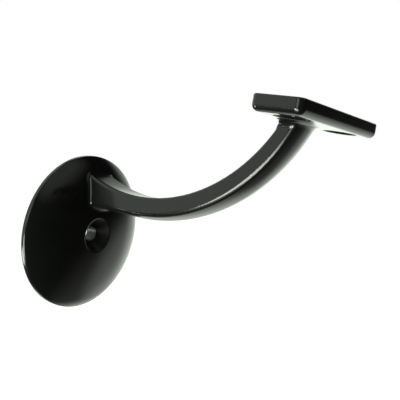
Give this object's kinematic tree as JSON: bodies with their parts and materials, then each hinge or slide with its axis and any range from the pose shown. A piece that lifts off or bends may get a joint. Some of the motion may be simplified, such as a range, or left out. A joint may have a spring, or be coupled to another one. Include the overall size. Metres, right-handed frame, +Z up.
{
  "type": "handrail wall bracket",
  "caption": "Cast handrail wall bracket: a domed round rose with a countersunk wall screw hole, a curved arm and a flat saddle plate with countersunk rail screw holes.",
  "frame": {"origin": "centre of the rose's flat back, on the wall, on the wall screw's axis", "axes": "+X along the rail, +Y straight out of the wall, +Z up"},
  "size_m": [0.05, 0.085, 0.0725],
  "materials": {
    "black_coat": "semi-gloss black stove enamel over a smooth casting"
  },
  "bodies": {
    "root": {"bracket_casting": "black_coat"}
  },
  "joints": []
}
